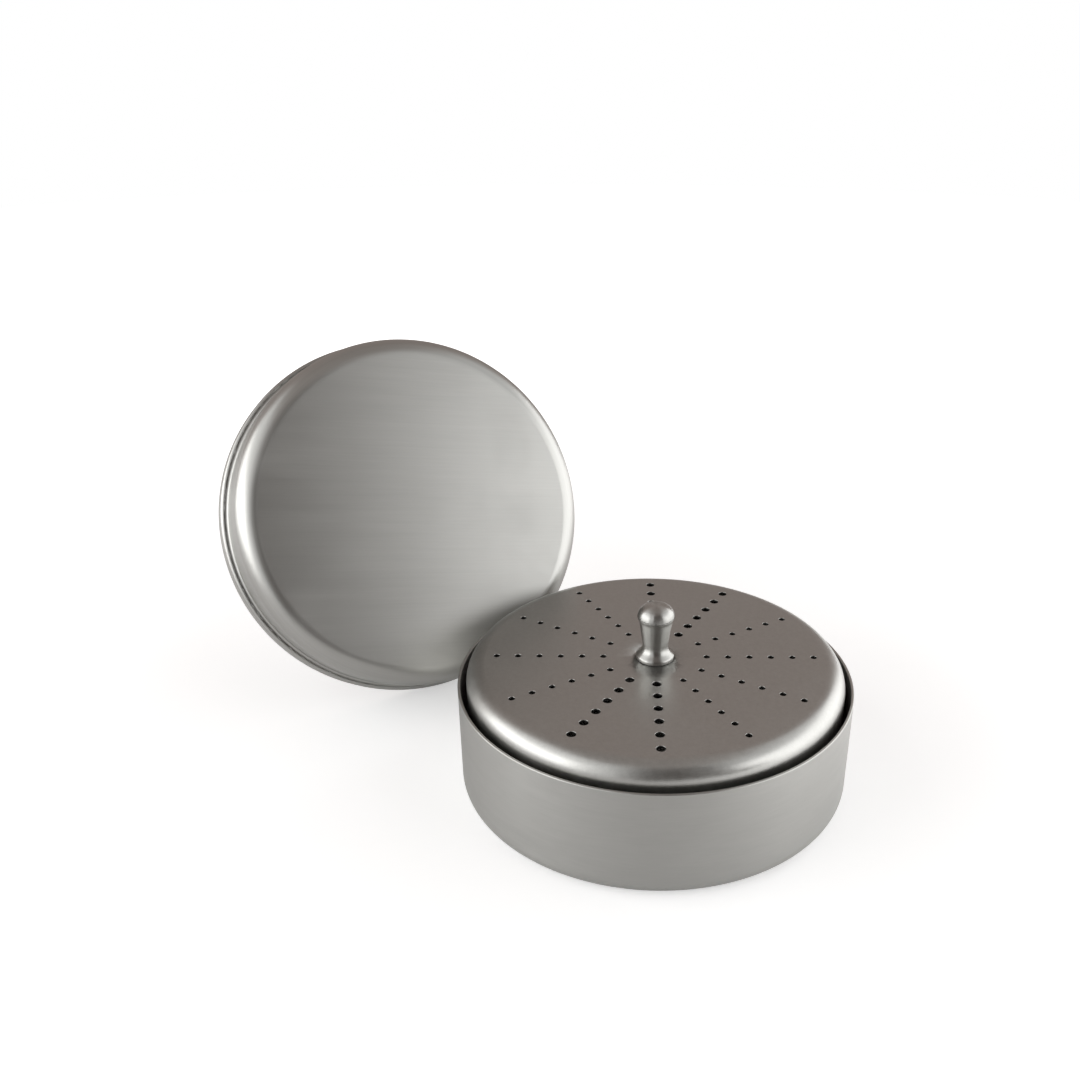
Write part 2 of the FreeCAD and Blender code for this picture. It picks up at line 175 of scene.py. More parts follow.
def new_material(name: str) -> tuple[bpy.types.Material, NodeBench]:
    """Starts a material without any node.

    Args:
        name: the material's name.

    Returns:
        The material and the bench for its nodes.
    """
    material = bpy.data.materials.new(name)
    material.use_nodes = True
    material.node_tree.nodes.clear()
    return material, NodeBench(material.node_tree)


# Turned shapes
@dataclass(frozen=True)
class Corner:
    """A corner of a half section, in millimetres: distance from the axis, height, the radius that
    rounds it, and how much wear that edge shows (below 0: how much painted shade darkens it and
    how dull it stays)."""

    out: float
    up: float
    bend: float = 0.0
    wear: float = 0.0


# A bend is cut into steps of this angle. The points beside it, which keep a flat flat, lie this
# far away in millimetres, or at most this share of the flat, and not where they come too close.
ARC_STEP = math.radians(9)
GUARD = 0.25
GUARD_SHARE = 0.2
GUARD_LEAST = 0.01
# Lines around the axis are drawn as on a drum of this radius in metres, at every height.
TURN_REACH = 0.02
ON_AXIS = 1e-6


def rounded_section(corners: list[Corner]) -> list[tuple[float, float, float]]:
    """Points of a half section with its corners rounded.

    Args:
        corners: the corners, anticlockwise seen with the axis on the left.

    Returns:
        Distance from the axis, height and wear of each point, where wear below 0 is painted shade,
        with a point close beside each bend, so that flats stay flat when they are shaded.
    """
    points = []
    count = len(corners)
    for i, corner in enumerate(corners):
        at = Vector((corner.out, corner.up))
        if not corner.bend:
            points.append((at.x, at.y, corner.wear))
            continue
        before = corners[i - 1]
        after = corners[(i + 1) % count]
        back = Vector((before.out, before.up)) - at
        ahead = Vector((after.out, after.up)) - at
        room = (back.length, ahead.length)
        back.normalize()
        ahead.normalize()
        half = back.angle(ahead) / 2
        reach = corner.bend / math.tan(half)
        centre = at + (back + ahead).normalized() * (corner.bend / math.sin(half))
        start, end = at + back * reach, at + ahead * reach
        swing = math.pi - 2 * half
        steps = max(3, round(swing / ARC_STEP))
        first = start - centre
        sign = 1.0 if back.x * ahead.y - back.y * ahead.x < 0 else -1.0
        guards = [min(GUARD, GUARD_SHARE * (length - reach)) for length in room]
        if guards[0] > GUARD_LEAST:
            points.append((*(start + back * guards[0]), 0.0))
        for k in range(steps + 1):
            turned = Matrix.Rotation(sign * swing * k / steps, 2) @ first
            points.append((*(centre + turned), corner.wear))
        if guards[1] > GUARD_LEAST:
            points.append((*(end + ahead * guards[1]), 0.0))
    return points


def turned_mesh(
    name: str, section: list[tuple[float, float, float]], sides: int, closed: bool
) -> bpy.types.Mesh:
    """Turns a half section about the upright axis.

    Args:
        name: the mesh's name.
        section: points in millimetres from rounded_section; 0 from the axis is a pole.
        sides: how many faces go round.
        closed: whether the last point joins the first.

    Returns:
        A mesh in metres with outward faces, the layer "lay" (U along the section, V around), the
        attribute "grain", and one with the wear of each point, which below 0 is painted shade.
    """
    vertices, grain, wear, rings = [], [], [], []
    travelled = [0.0]
    for (r0, z0, _), (r1, z1, _) in zip(section, section[1:]):
        travelled.append(travelled[-1] + math.hypot(r1 - r0, z1 - z0) * MM)
    for (r, z, worn), along in zip(section, travelled):
        spots = 1 if r < ON_AXIS else sides
        rings.append((len(vertices), spots))
        for k in range(spots):
            angle = 2 * math.pi * k / sides
            around = (math.cos(angle), math.sin(angle))
            vertices.append((r * around[0] * MM, r * around[1] * MM, z * MM))
            grain.append((around[0] * TURN_REACH, around[1] * TURN_REACH, along))
            wear.append(worn)
    pairs = list(zip(range(len(section) - 1), range(1, len(section))))
    if closed:
        pairs.append((len(section) - 1, 0))
    faces, lays = [], []
    loop_end = travelled[-1] + math.dist(section[-1][:2], section[0][:2]) * MM
    for low, high in pairs:
        (low_at, low_count), (high_at, high_count) = rings[low], rings[high]
        if low_count == high_count == 1:
            continue
        u0, u1 = travelled[low], travelled[high] if high else loop_end
        for k in range(sides):
            near, far = k, (k + 1) % sides
            v0, v1 = (turn * TURN_REACH * 2 * math.pi / sides for turn in (k, k + 1))
            if low_count == 1:
                faces.append((low_at, high_at + far, high_at + near))
                lays.append(((u0, v0), (u1, v1), (u1, v0)))
            elif high_count == 1:
                faces.append((low_at + near, low_at + far, high_at))
                lays.append(((u0, v0), (u0, v1), (u1, v0)))
            else:
                faces.append((low_at + near, low_at + far, high_at + far, high_at + near))
                lays.append(((u0, v0), (u0, v1), (u1, v1), (u1, v0)))
    mesh = bpy.data.meshes.new(name)
    mesh.from_pydata(vertices, [], faces)
    layer = mesh.uv_layers.new(name="lay")
    flat = [number for lay in lays for corner in lay for number in corner]
    layer.data.foreach_set("uv", flat)
    set_attribute(mesh, "grain", "FLOAT_VECTOR", grain)
    set_attribute(mesh, "wear", "FLOAT", wear)
    mesh.shade_smooth()
    return mesh


def set_attribute(mesh: bpy.types.Mesh, name: str, kind: str, values: list[Any]) -> None:
    """Writes one value per vertex.

    Args:
        mesh: the mesh that gets the attribute.
        name: the attribute's name.
        kind: FLOAT or FLOAT_VECTOR.
        values: a number or three numbers for each vertex.
    """
    attribute = mesh.attributes.get(name) or mesh.attributes.new(name, kind, "POINT")
    if kind == "FLOAT":
        attribute.data.foreach_set("value", values)
    else:
        attribute.data.foreach_set("vector", [number for value in values for number in value])


def place_object(mesh: bpy.types.Mesh) -> bpy.types.Object:
    """Puts a mesh into the scene.

    Args:
        mesh: the mesh.

    Returns:
        An object of the same name, at the origin.
    """
    piece = bpy.data.objects.new(mesh.name, mesh)
    bpy.context.scene.collection.objects.link(piece)
    return piece


def hand_over(piece: bpy.types.Object, body: str, slot: str, *nodes: str) -> None:
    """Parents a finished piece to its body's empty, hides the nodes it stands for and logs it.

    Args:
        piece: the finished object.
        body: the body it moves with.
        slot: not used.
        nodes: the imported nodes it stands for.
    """
    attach(piece, body)
    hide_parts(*nodes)
    log.info("%s: %d faces on %s", piece.name, len(piece.data.polygons), body)


# Steel finishes
class Lay(Enum):
    """How a finish lies on the steel."""

    SATIN = "even satin"
    BRUSHED = "straight brush lines"
    TURNED = "lines around the axis"


# The colour is this much stronger where steel is worn bare and this much weaker where shade is
# painted on the holes' walls, and the roughness changes by this much under hand marks, on worn
# edges and on those shaded walls.
BARE_SHADE = 1.12
PAINTED_SHADE = 0.2
MARK_DULLNESS = 0.05
WEAR_POLISH = -0.08


@dataclass(frozen=True)
class SteelFinish:
    """One finish of stainless steel. Lines per metre are counted across the lay."""

    name: str
    slot: str
    lay: Lay
    colour: Colour
    roughness: float
    anisotropy: float = 0.0
    spread: float = 0.06
    tone: float = 0.06
    lines: float = 1500.0
    streak: float = 60.0
    depth: float = 0.6e-6

    def shade(self, strength: float) -> tuple[float, float, float, float]:
        """The finish's colour made stronger or weaker, with its alpha."""
        return (*(min(part * strength, 1.0) for part in self.colour), 1.0)

    def material(self) -> bpy.types.Material:
        """Builds the finish as a material.

        Returns:
            The material, with one Principled shader fed by the shared grain and hand mark groups.
        """
        material, bench = new_material(self.name)
        shader = bench.add(
            "ShaderNodeBsdfPrincipled", {"Metallic": 1.0, "Anisotropic": self.anisotropy}
        )
        bench.add("ShaderNodeOutputMaterial", {"Surface": shader.outputs[0]})
        place = bench.add("ShaderNodeTexCoord").outputs["Object"]
        lay, along = place, self.lines
        if self.lay is not Lay.SATIN:
            lay = bench.add("ShaderNodeAttribute", attribute_name="grain").outputs["Vector"]
            along = self.streak
        grain = bench.add(
            "ShaderNodeGroup",
            {"Vector": lay, "Across": self.lines, "Along": along},
            node_tree=bpy.data.node_groups[GRAIN],
        )
        marks = bench.add(
            "ShaderNodeGroup", {"Vector": place}, node_tree=bpy.data.node_groups[HAND_MARKS]
        )
        wear = bench.add("ShaderNodeAttribute", attribute_name="wear").outputs["Fac"]
        lines = grain.outputs["Lines"]
        ground = bench.mix_colour(lines, self.shade(1 - self.tone), self.shade(1 + self.tone))
        worn = bench.mix_colour(wear, ground, self.shade(BARE_SHADE))
        # Where the wear value is below 0 the colour is painted dark: painted shade in the holes'
        # walls.
        painted_shade = bench.compute("MULTIPLY", wear, -1.0, clamp=True)
        colour = bench.mix_colour(painted_shade, worn, self.shade(PAINTED_SHADE))
        bench.fill(shader.inputs["Base Color"], colour)
        shift = bench.compute("MULTIPLY_ADD", lines, self.spread, self.roughness - self.spread / 2)
        soiled = bench.compute("MULTIPLY_ADD", marks.outputs["Mask"], MARK_DULLNESS, shift)
        rubbed = bench.compute("MULTIPLY_ADD", wear, WEAR_POLISH, soiled, clamp=True)
        bench.fill(shader.inputs["Roughness"], rubbed)
        relief = {"Strength": 1.0, "Distance": self.depth, "Height": lines}
        bench.fill(shader.inputs["Normal"], bench.take("ShaderNodeBump", relief))
        if self.anisotropy:
            tangent = bench.take("ShaderNodeTangent", direction_type="UV_MAP", uv_map="lay")
            bench.fill(shader.inputs["Tangent"], tangent)
        return material


GRAIN = "grain_of_steel"
HAND_MARKS = "hand_marks"
# The broad noise is this much coarser than the fine one, and has this share in the lines.
BROAD_SCALE = (0.31, 0.31, 0.17)
BROAD_SHARE = 0.45


def make_grain_group() -> None:
    """Fine lines or an even grain: two sizes of noise, stretched along the lay."""
    bench, given, result = new_group(
        GRAIN,
        "ShaderNodeTree",
        [
            ("Vector", "NodeSocketVector", None),
            ("Across", "NodeSocketFloat", 1500.0),
            ("Along", "NodeSocketFloat", 60.0),
        ],
        [("Lines", "NodeSocketFloat")],
    )
    stretched = bench.scaled(given["Vector"], given["Along"], given["Along"], given["Across"])
    fine = bench.add("ShaderNodeTexNoise", {"Vector": stretched, "Scale": 1.0, "Detail": 2.0})
    broad_place = bench.scaled(stretched, *BROAD_SCALE)
    broad = bench.add("ShaderNodeTexNoise", {"Vector": broad_place, "Scale": 1.0, "Detail": 1.0})
    fine_part = bench.compute("MULTIPLY", fine.outputs["Fac"], 1 - BROAD_SHARE)
    mixed = bench.compute("MULTIPLY_ADD", broad.outputs["Fac"], BROAD_SHARE, fine_part)
    reach = {"Value": mixed, "From Min": 0.3, "From Max": 0.7}
    bench.fill(result.inputs["Lines"], bench.take("ShaderNodeMapRange", reach))


def make_marks_group() -> None:
    """Faint patches where the steel was handled or wiped."""
    bench, given, result = new_group(
        HAND_MARKS,
        "ShaderNodeTree",
        [("Vector", "NodeSocketVector", None)],
        [("Mask", "NodeSocketFloat")],
    )
    patches = {"Vector": given["Vector"], "Scale": 45.0, "Detail": 3.0, "Distortion": 0.6}
    noise = bench.add("ShaderNodeTexNoise", patches).outputs["Fac"]
    reach = {"Value": noise, "From Min": 0.45, "From Max": 0.75}
    bench.fill(result.inputs["Mask"], bench.take("ShaderNodeMapRange", reach))


STEEL: Colour = (0.48, 0.478, 0.459)


# Geometry trees
def run_tree(piece: bpy.types.Object, tree: bpy.types.NodeTree, values: dict[str, Any]) -> None:
    """Runs a geometry tree on an object and keeps what it makes as the object's plain mesh.

    Args:
        piece: the object whose mesh goes into the tree.
        tree: the geometry tree.
        values: the tree's inputs by label.
    """
    modifier = piece.modifiers.new(tree.name, "NODES")
    modifier.node_group = tree
    for item in tree.interface.items_tree:
        if item.item_type == "SOCKET" and item.in_out == "INPUT" and item.name in values:
            modifier[item.identifier] = values[item.name]
    evaluated = piece.evaluated_get(bpy.context.evaluated_depsgraph_get())
    made = bpy.data.meshes.new_from_object(evaluated)
    piece.modifiers.clear()
    before, name = piece.data, piece.data.name
    piece.data = made
    bpy.data.meshes.remove(before)
    made.name = name


# Vertices closer than this, in metres, are one.
WELD = 1e-6


def close_tree(
    bench: NodeBench, parts: Any, finish: Any, result: bpy.types.Node
) -> bpy.types.NodeTree:
    """Ends a geometry tree: welds and smooths its parts, makes them real and dresses them.

    Args:
        bench: the tree's bench.
        parts: the joined parts.
        finish: the tree's material input.
        result: the tree's output node.

    Returns:
        The tree.
    """
    welded = bench.take("GeometryNodeMergeByDistance", {"Geometry": parts, "Distance": WELD})
    smooth = bench.take("GeometryNodeSetShadeSmooth", {0: welded, "Shade Smooth": True})
    real = bench.take("GeometryNodeRealizeInstances", {0: smooth})
    dressed = bench.take("GeometryNodeSetMaterial", {"Geometry": real, "Material": finish})
    bench.fill(result.inputs[0], dressed)
    return bench.tree
PERFORATED = "perforated_plate"
ROW_ANGLE = math.radians(30)
ROWS = 12
ROWS_TO_REPEAT = 6
LATCH_ROWS = 2


def make_perforation_tree() -> bpy.types.NodeTree:
    """A flat ring with straight rows of round holes or pits, joined to the turned rest of a plate.

    Returns:
        The tree: rows 12 and 1 o'clock, and those across, get the latch rim, the others the
        friction rim.
    """
    bench, given, result = new_group(
        PERFORATED,
        "GeometryNodeTree",
        [
            ("Geometry", "NodeSocketGeometry", None),
            ("Top Height", "NodeSocketFloat", 0.0),
            ("Under Height", "NodeSocketFloat", 0.0),
            ("Through", "NodeSocketBool", True),
            ("Flat Radius", "NodeSocketFloat", 0.04),
            ("Centre Radius", "NodeSocketFloat", 0.002),
            ("Sides", "NodeSocketInt", 192),
            ("First Ring", "NodeSocketFloat", 0.0145),
            ("Ring Step", "NodeSocketFloat", 0.006),
            ("Places", "NodeSocketInt", 6),
            ("Hole Sides", "NodeSocketInt", 32),
            ("Latch Cut", "NodeSocketFloat", 0.00125),
            ("Friction Cut", "NodeSocketFloat", 0.0009),
            ("Latch Rim", "NodeSocketObject", None),
            ("Friction Rim", "NodeSocketObject", None),
            ("Centre Rim", "NodeSocketObject", None),
            ("Finish", "NodeSocketMaterial", None),
        ],
        [("Geometry", "NodeSocketGeometry")],
    )
    index = bench.take("GeometryNodeInputIndex")
    row = bench.compute("FLOOR", bench.compute("DIVIDE", index, given["Places"]))
    place = bench.compute("MODULO", index, given["Places"])
    ring = bench.compute("MULTIPLY_ADD", place, given["Ring Step"], given["First Ring"])
    angle = bench.compute("MULTIPLY", row, ROW_ANGLE)
    across = bench.compute("MULTIPLY", bench.compute("SINE", angle), ring)
    back = bench.compute("MULTIPLY", bench.compute("COSINE", angle), ring)
    spot = bench.take("ShaderNodeCombineXYZ", {0: across, 1: back})
    count = bench.compute("MULTIPLY", given["Places"], float(ROWS))
    spots = bench.take("GeometryNodePoints", {"Count": count, "Position": spot})
    row_of_half = bench.compute("MODULO", row, float(ROWS_TO_REPEAT))
    is_latch = bench.compute("LESS_THAN", row_of_half, LATCH_ROWS - 0.5)
    kinds = bench.add(
        "GeometryNodeSeparateGeometry", {"Geometry": spots, "Selection": is_latch}, domain="POINT"
    ).outputs
    outlines = bench.add("GeometryNodeJoinGeometry")
    parts = bench.add("GeometryNodeJoinGeometry")
    for radius in (given["Flat Radius"], given["Centre Radius"]):
        bench.fill(outlines.inputs[0], bench.circle(given["Sides"], radius))
    for points, cut, rim in (
        (kinds["Selection"], given["Latch Cut"], given["Latch Rim"]),
        (kinds["Inverted"], given["Friction Cut"], given["Friction Rim"]),
    ):
        outline = bench.circle(given["Hole Sides"], cut)
        bench.fill(outlines.inputs[0], bench.copies(outline, points))
        bench.fill(parts.inputs[0], bench.copies(bench.shape_of(rim), points))
    sheet = bench.take("GeometryNodeFillCurve", {"Curve": outlines.outputs[0]})
    turned = bench.take("GeometryNodeFlipFaces", {"Mesh": sheet})
    under = bench.raised(turned, given["Under Height"])
    pierced = {"Switch": given["Through"], "True": under}
    for part in (
        bench.shape_of(given["Centre Rim"]),
        bench.raised(sheet, given["Top Height"]),
        bench.take("GeometryNodeSwitch", pierced, input_type="GEOMETRY"),
        given["Geometry"],
    ):
        bench.fill(parts.inputs[0], part)
    return close_tree(bench, parts.outputs[0], given["Finish"], result)


THREADED = "rolled_thread"
# The groove falls by this many thread depths per pitch, and begins this much late, which leaves
# the crest flat.
FLANK_SLOPE = 2.7
CREST_FLAT = -0.17


def make_thread_tree() -> bpy.types.NodeTree:
    """A threaded rod with bevelled ends: a sheet of faces rolled up and pressed in along a helix.

    Returns:
        The tree.
    """
    bench, given, result = new_group(
        THREADED,
        "GeometryNodeTree",
        [
            ("Geometry", "NodeSocketGeometry", None),
            ("Radius", "NodeSocketFloat", 0.002),
            ("Pitch", "NodeSocketFloat", 0.0007),
            ("Depth", "NodeSocketFloat", 0.0004),
            ("Low", "NodeSocketFloat", 0.0),
            ("High", "NodeSocketFloat", 0.02),
            ("Bevel", "NodeSocketFloat", 0.0005),
            ("Sides", "NodeSocketInt", 32),
            ("Steps Per Turn", "NodeSocketInt", 10),
            ("Finish", "NodeSocketMaterial", None),
        ],
        [("Geometry", "NodeSocketGeometry")],
    )
    length = bench.compute("SUBTRACT", given["High"], given["Low"])
    turns = bench.compute("DIVIDE", length, given["Pitch"])
    rows = bench.compute("CEIL", bench.compute("MULTIPLY", turns, given["Steps Per Turn"]))
    columns = bench.compute("ADD", given["Sides"], 1.0)
    size = {"Size X": 1.0, "Size Y": 1.0, "Vertices X": columns, "Vertices Y": rows}
    grid = bench.take("GeometryNodeMeshGrid", size)
    at = bench.add("ShaderNodeSeparateXYZ", {0: bench.take("GeometryNodeInputPosition")}).outputs
    around = bench.compute("ADD", at["X"], 0.5)
    along = bench.compute("ADD", at["Y"], 0.5)
    height = bench.compute("MULTIPLY_ADD", along, length, given["Low"])
    phase = bench.compute("SUBTRACT", bench.compute("DIVIDE", height, given["Pitch"]), around)
    flank = bench.compute("PINGPONG", phase, 0.5)
    groove = bench.compute("MULTIPLY_ADD", flank, FLANK_SLOPE, CREST_FLAT, clamp=True)
    cut = bench.compute("MULTIPLY", groove, given["Depth"])
    threaded = bench.compute("SUBTRACT", given["Radius"], cut)
    above = bench.compute("SUBTRACT", height, given["Low"])
    below = bench.compute("SUBTRACT", given["High"], height)
    nearest_end = bench.compute("MINIMUM", above, below)
    tip = bench.compute("SUBTRACT", given["Radius"], given["Bevel"])
    radius = bench.compute("MINIMUM", threaded, bench.compute("ADD", tip, nearest_end))
    angle = bench.compute("MULTIPLY", around, 2 * math.pi)
    aside = bench.compute("MULTIPLY", bench.compute("COSINE", angle), radius)
    back = bench.compute("MULTIPLY", bench.compute("SINE", angle), radius)
    spot = bench.take("ShaderNodeCombineXYZ", {0: aside, 1: back, 2: height})
    rolled = bench.take("GeometryNodeSetPosition", {"Geometry": grid, "Position": spot})
    root = bench.compute("SUBTRACT", given["Radius"], given["Depth"])
    end = {"Vertices": given["Sides"], "Radius": bench.compute("MINIMUM", tip, root)}
    cap = bench.take("GeometryNodeMeshCircle", end, fill_type="TRIANGLE_FAN")
    turned_cap = bench.take("GeometryNodeFlipFaces", {"Mesh": cap})
    parts = bench.add("GeometryNodeJoinGeometry", {0: rolled})
    bench.fill(parts.inputs[0], bench.raised(cap, given["High"]))
    bench.fill(parts.inputs[0], bench.raised(turned_cap, given["Low"]))
    return close_tree(bench, parts.outputs[0], given["Finish"], result)


# Sub-assemblies
def node_radius(node: str) -> float:
    """Outer radius of an upright turned node, in millimetres."""
    low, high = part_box(node)
    return (high[0] - low[0]) / 2 / MM


def node_heights(node: str) -> Point:
    """Lowest and highest point of a node, in millimetres."""
    low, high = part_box(node)
    return low[2] / MM, high[2] / MM


@dataclass
class BaseCup:
    """The drawn cup that everything stands in."""

    sheet: float = 0.8
    corner: float = 4.0
    edge: float = 0.3
    rim_wear: float = 0.3
    sides: int = 256
    finish: SteelFinish = SteelFinish(
        "cup_satin", "cup_steel", Lay.TURNED, STEEL, 0.42,
        anisotropy=0.6, spread=0.03, tone=0.035, lines=2600.0, streak=500.0,
    )

    def build(self) -> None:
        """Builds and dresses the cup."""
        radius = node_radius("base_cup")
        _, rim = node_heights("base_cup")
        inside = radius - self.sheet
        section = rounded_section(
            [
                Corner(0, 0),
                Corner(radius, 0, self.corner),
                Corner(radius, rim, self.edge, self.rim_wear),
                Corner(inside, rim, self.edge, self.rim_wear),
                Corner(inside, self.sheet, self.corner - self.sheet),
                Corner(0, self.sheet),
            ],
        )
        piece = place_object(turned_mesh("drawn_cup", section, self.sides, False))
        piece.data.materials.append(self.finish.material())
        hand_over(piece, "base", self.finish.slot, "base_cup")


@dataclass
class BurRack:
    """The perforated rack, the rest plate under it and what clamps them together."""

    rack_corner: float = 5.3
    rack_sheet: float = 0.8
    rest_sheet: float = 1.2
    rest_corner: float = 2.4
    edge: float = 0.3
    row_margin: float = 3.2
    first_ring: float = 14.5
    places: int = 6
    latch_hole: float = 2.5
    friction_hole: float = 1.75
    hole_edge: float = 0.12
    edge_land: float = 1.6
    pit_depth: float = 0.6
    pit_edge: float = 0.1
    stud_diameter: float = 4.0
    through_clearance: float = 0.4
    rack_flat_margin: float = 0.4
    rest_flat_margin: float = 0.3
    rim_wear: float = 0.6
    pit_wear: float = 0.7
    # Painted shade: the holes' walls are coloured dark from their middle down.
    hole_painted_shade: float = -1.0
    sides: int = 256
    hole_sides: int = 32
    rack_finish: SteelFinish = SteelFinish(
        "rack_satin", "rack_steel", Lay.SATIN, STEEL, 0.34, lines=2600.0
    )
    inner_finish: SteelFinish = SteelFinish(
        "inner_satin", "inner_steel", Lay.SATIN, STEEL, 0.42, lines=2200.0
    )

    def centre_hole(self) -> float:
        """Radius of the plates' hole for the stud."""
        return (self.stud_diameter + self.through_clearance) / 2

    def ring_step(self) -> float:
        """Distance from ring to ring of holes."""
        last = node_radius("rack_plate") - self.rack_corner - self.row_margin
        return (last - self.first_ring) / (self.places - 1)

    def outline(self, diameter: float, edge: float) -> float:
        """Radius at which a hole's wall with its broken edge meets the flat sheet."""
        return diameter / 2 + edge * self.edge_land

    def hole_rim(self, name: str, diameter: float, top: float, under: float) -> bpy.types.Object:
        """The wall of one hole through a sheet, with both its edges broken and painted shade that
        deepens down to its middle and stays below it.

        Args:
            name: the rim's name.
            diameter: the hole's diameter in millimetres.
            top: height of the sheet's upper face.
            under: height of its lower face.

        Returns:
            The rim, as a loose object for the perforation tree.
        """
        radius, edge = diameter / 2, self.hole_edge
        corners = [
            Corner(self.outline(diameter, edge), top),
            Corner(radius, top, edge),
            # Painted shade from here down: the wall is coloured dark.
            Corner(radius, (top + under) / 2, wear=self.hole_painted_shade),
            Corner(radius, under, edge, self.hole_painted_shade),
            Corner(self.outline(diameter, edge), under),
        ]
        return place_object(turned_mesh(name, rounded_section(corners), self.hole_sides, False))

    def centre_rim(self, top: float, under: float) -> bpy.types.Object:
        """The wall of the hole for the stud."""
        wall = [(self.centre_hole(), height, 0.0) for height in (top, under)]
        return place_object(turned_mesh("centre_rim", wall, self.sides, False))

    def pit_rim(self, name: str, diameter: float, top: float) -> bpy.types.Object:
        """A shallow pit with a flat floor, as an end mill leaves it.

        Args:
            name: the rim's name.
            diameter: the pit's diameter in millimetres.
            top: height of the plate's upper face.

        Returns:
            The pit, as a loose object for the perforation tree.
        """
        radius, edge = diameter / 2, self.pit_edge
        corners = [
            Corner(self.outline(diameter, edge), top),
            Corner(radius, top, edge, self.pit_wear),
            Corner(radius, top - self.pit_depth, edge),
            Corner(0, top - self.pit_depth),
        ]
        return place_object(turned_mesh(name, rounded_section(corners), self.hole_sides, False))

    def perforate(
        self, piece: bpy.types.Object, tree: bpy.types.NodeTree, rims: list[bpy.types.Object],
        heights: Point, through: bool, flat: float, finish: SteelFinish, edge: float
    ) -> None:
        """Runs the perforation tree on a turned plate and drops the loose rims.

        Args:
            piece: the plate without its flat.
            tree: the perforation tree.
            rims: the walls of a latch hole, a friction hole and the hole for the stud.
            heights: the sheet's upper and lower face in millimetres.
            through: whether the holes go through, or stop as pits.
            flat: radius at which the flat meets the turned rest.
            finish: the plate's finish.
            edge: width of the holes' broken edges.
        """
        values = {
            "Top Height": heights[0] * MM,
            "Under Height": heights[1] * MM,
            "Through": through,
            "Flat Radius": flat * MM,
            "Centre Radius": self.centre_hole() * MM,
            "Sides": self.sides,
            "First Ring": self.first_ring * MM,
            "Ring Step": self.ring_step() * MM,
            "Places": self.places,
            "Hole Sides": self.hole_sides,
            "Latch Cut": self.outline(self.latch_hole, edge) * MM,
            "Friction Cut": self.outline(self.friction_hole, edge) * MM,
            "Latch Rim": rims[0],
            "Friction Rim": rims[1],
            "Centre Rim": rims[2],
            "Finish": finish.material(),
        }
        run_tree(piece, tree, values)
        for rim in rims:
            bpy.data.objects.remove(rim)

    def build_rack_plate(self, tree: bpy.types.NodeTree) -> None:
        """The upturned pan with its 72 holes.

        Args:
            tree: the perforation tree.
        """
        radius = node_radius("rack_plate")
        seat, top = node_heights("rack_plate")
        under, inside = top - self.rack_sheet, radius - self.rack_sheet
        flat = radius - self.rack_corner - self.rack_flat_margin
        section = rounded_section(
            [
                Corner(flat, under),
                Corner(inside, under, self.rack_corner - self.rack_sheet),
                Corner(inside, seat, self.edge, self.rim_wear),
                Corner(radius, seat, self.edge, self.rim_wear),
                Corner(radius, top, self.rack_corner),
                Corner(flat, top),
            ],
        )
        piece = place_object(turned_mesh("perforated_rack", section, self.sides, False))
        rims = [
            self.hole_rim("latch_rim", self.latch_hole, top, under),
            self.hole_rim("friction_rim", self.friction_hole, top, under),
            self.centre_rim(top, under),
        ]
        self.perforate(
            piece, tree, rims, (top, under), True, flat, self.rack_finish, self.hole_edge
        )
        hand_over(piece, "rack", self.rack_finish.slot, "rack_plate")

    def build_rest_plate(self, tree: bpy.types.NodeTree) -> None:
        """The plate on which the shanks stand, with its pits.

        Args:
            tree: the perforation tree.
        """
        radius = node_radius("rest_plate")
        low, top = node_heights("rest_plate")
        under, inside = top - self.rest_sheet, radius - self.rest_sheet
        flat = radius - self.rest_corner - self.rest_flat_margin
        section = rounded_section(
            [
                Corner(self.centre_hole(), under),
                Corner(inside, under, self.rest_corner - self.rest_sheet),
                Corner(inside, low, self.edge, self.rim_wear),
                Corner(radius, low, self.edge, self.rim_wear),
                Corner(radius, top, self.rest_corner),
                Corner(flat, top),
            ],
        )
        piece = place_object(turned_mesh("rest_plate_with_pits", section, self.sides, False))
        rims = [
            self.pit_rim("latch_pit", self.latch_hole, top),
            self.pit_rim("friction_pit", self.friction_hole, top),
            self.centre_rim(top, under),
        ]
        self.perforate(
            piece, tree, rims, (top, under), False, flat, self.inner_finish, self.pit_edge
        )
        hand_over(piece, "rack", self.inner_finish.slot, "rest_plate")

    def build(self) -> None:
        """Builds both plates."""
        tree = make_perforation_tree()
        self.build_rack_plate(tree)
        self.build_rest_plate(tree)


